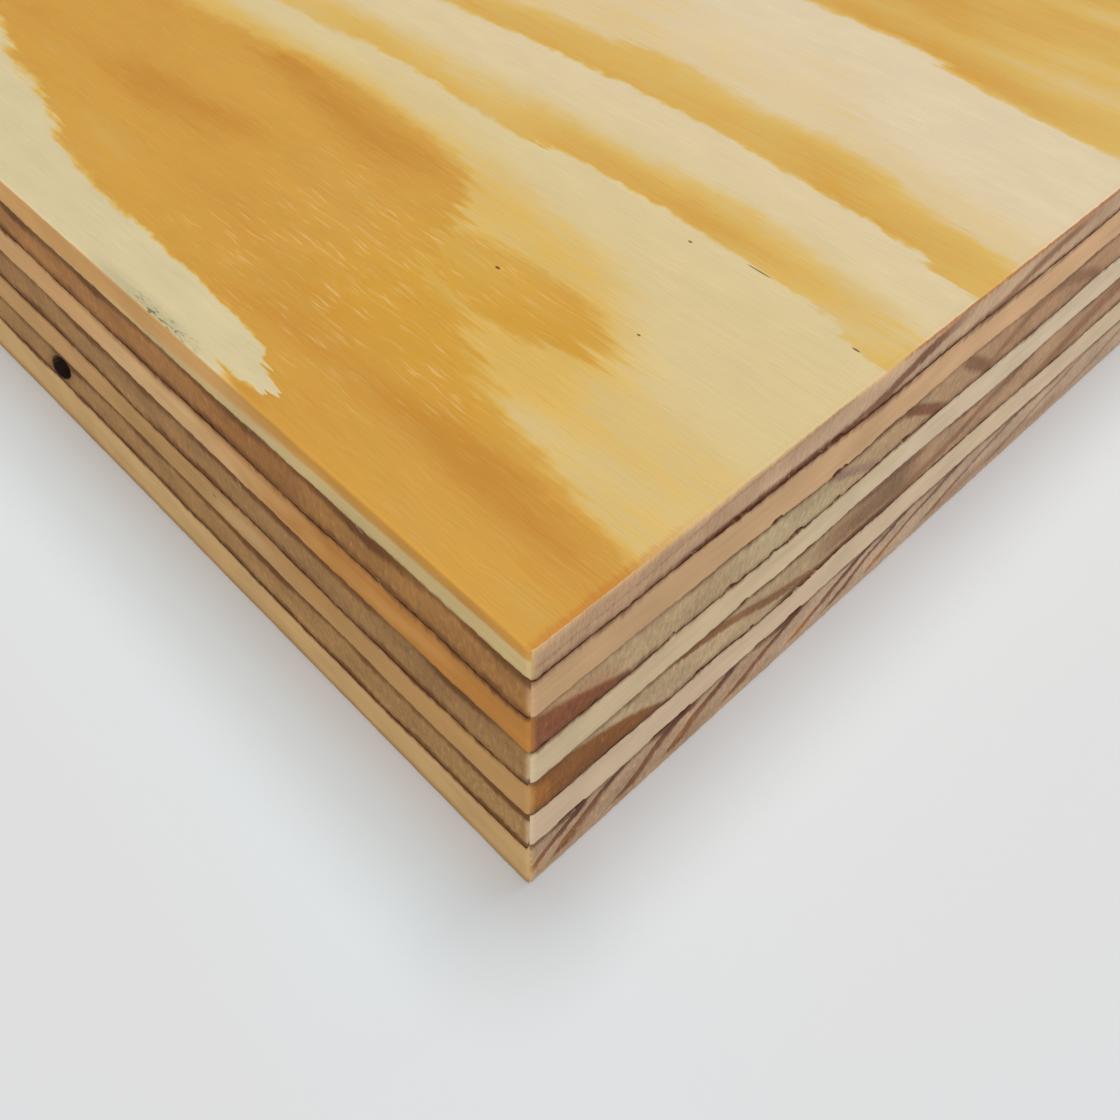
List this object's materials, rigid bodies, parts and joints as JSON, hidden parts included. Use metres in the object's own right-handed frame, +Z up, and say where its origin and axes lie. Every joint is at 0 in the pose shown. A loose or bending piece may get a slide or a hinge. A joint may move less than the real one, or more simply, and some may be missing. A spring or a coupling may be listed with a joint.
{
  "type": "plywood sheet",
  "caption": "Full-size softwood plywood sheet lying flat: cross-banded veneers glued face to face, figured pine face and back, square-sawn edges that show every ply.",
  "frame": {"origin": "centre of the sheet's underside", "axes": "+X along the length and the face grain, +Y across the width, +Z up through the thickness towards the face veneer"},
  "size_m": [2.44, 1.22, 0.018],
  "materials": {
    "face_veneer": "sanded pine, cream with amber latewood bands",
    "upper_crossband": "sawn, brown end grain on the long edges, peach long grain on the ends",
    "upper_core": "sawn, tan long grain on the long edges, grey-brown end grain on the ends",
    "centre_crossband": "sawn, grey-brown end grain on the long edges, pale cream long grain on the ends",
    "lower_core": "sawn, tan long grain on the long edges, grey-brown end grain on the ends",
    "lower_crossband": "sawn, grey-brown end grain on the long edges, pale tan long grain on the ends",
    "back_veneer": "sanded pine, tan with amber latewood bands"
  },
  "bodies": {
    "root": {"face_veneer": "face_veneer", "upper_crossband": "upper_crossband", "upper_core": "upper_core", "centre_crossband": "centre_crossband", "lower_core": "lower_core", "lower_crossband": "lower_crossband", "back_veneer": "back_veneer"}
  },
  "joints": []
}
